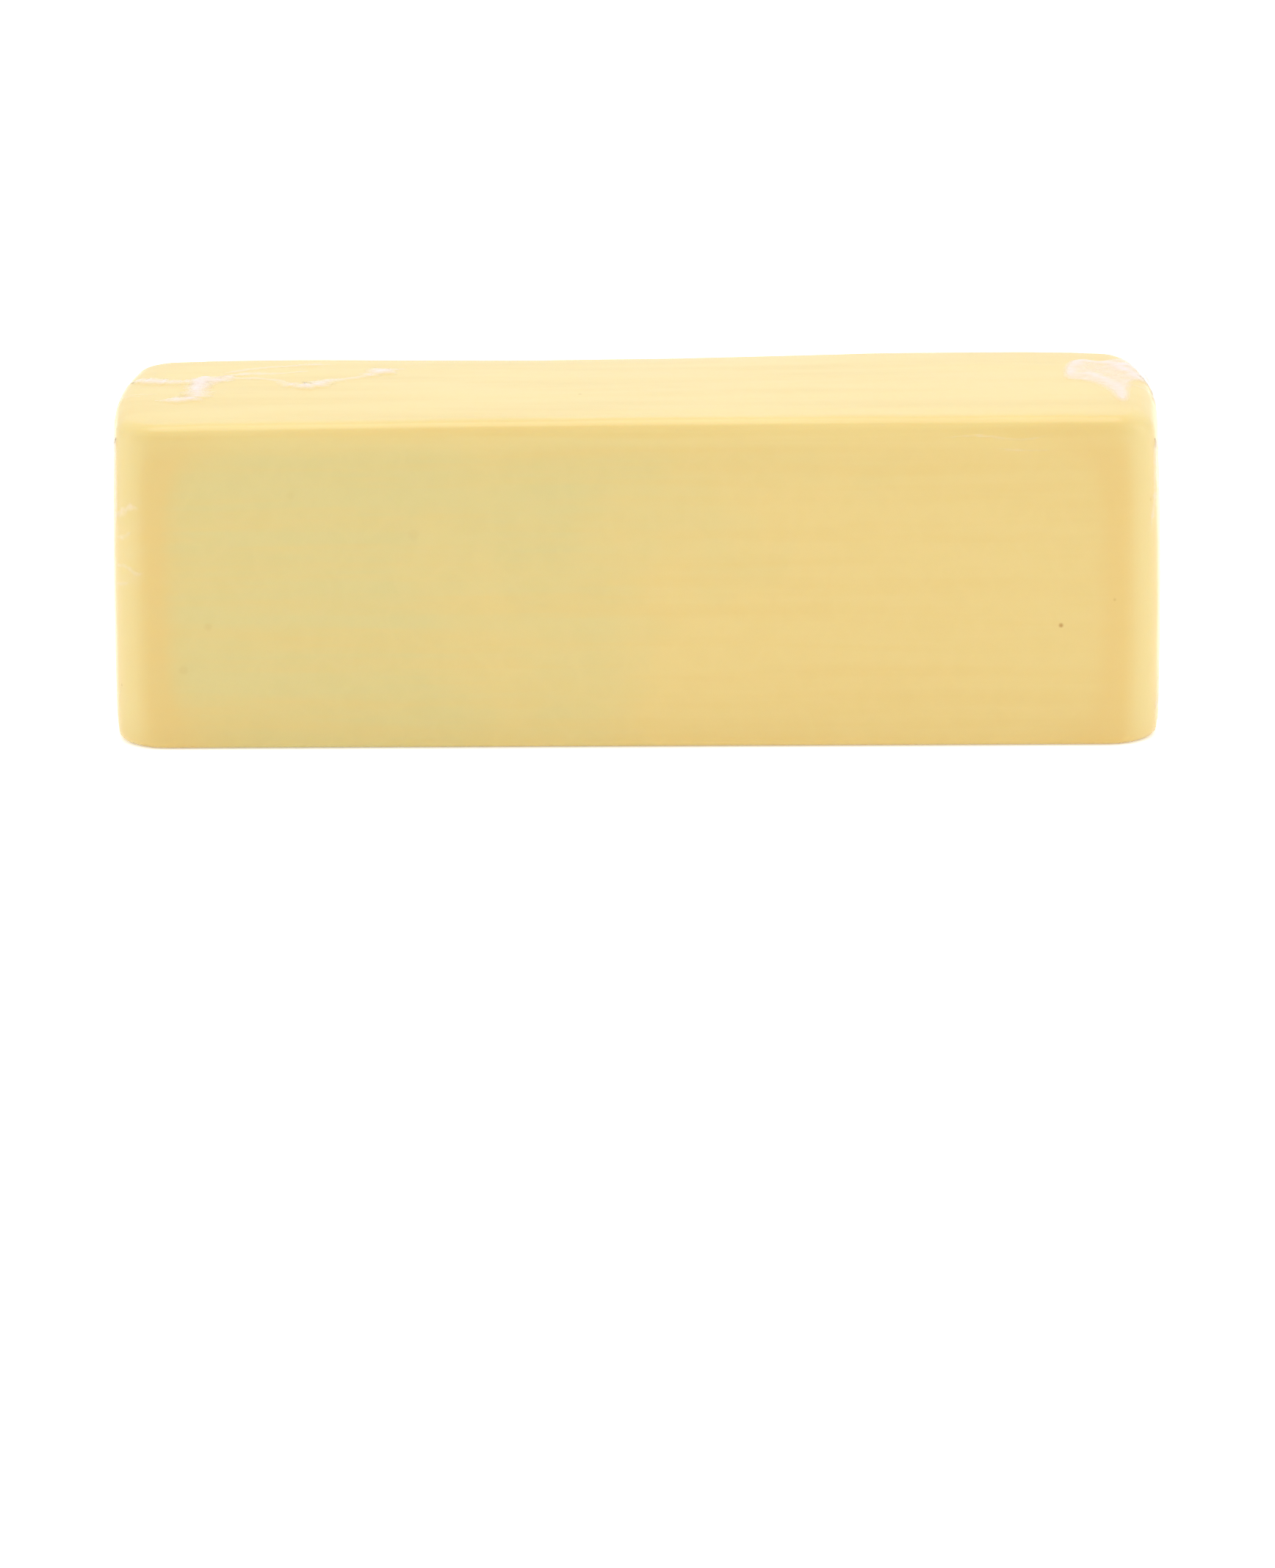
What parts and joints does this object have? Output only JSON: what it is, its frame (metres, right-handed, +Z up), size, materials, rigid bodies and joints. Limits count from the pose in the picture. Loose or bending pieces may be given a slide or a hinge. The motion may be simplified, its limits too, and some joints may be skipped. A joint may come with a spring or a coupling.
{
  "type": "block of cheddar in shrink film",
  "caption": "Long square-section block of cheddar shrunk into clear film, with a gathered pleat and a folded film corner on top.",
  "frame": {"origin": "under the middle of the block, on the surface it rests on", "axes": "+X along the block towards the end with the folded film corner, +Y from the front face to the back face, +Z up"},
  "size_m": [0.2888, 0.0908, 0.0928],
  "materials": {
    "cheddar": "satin",
    "film": "glossy, clear"
  },
  "bodies": {
    "root": {"cheese_block": "cheddar", "film_pleat": "film", "film_ear": "film"}
  },
  "joints": []
}
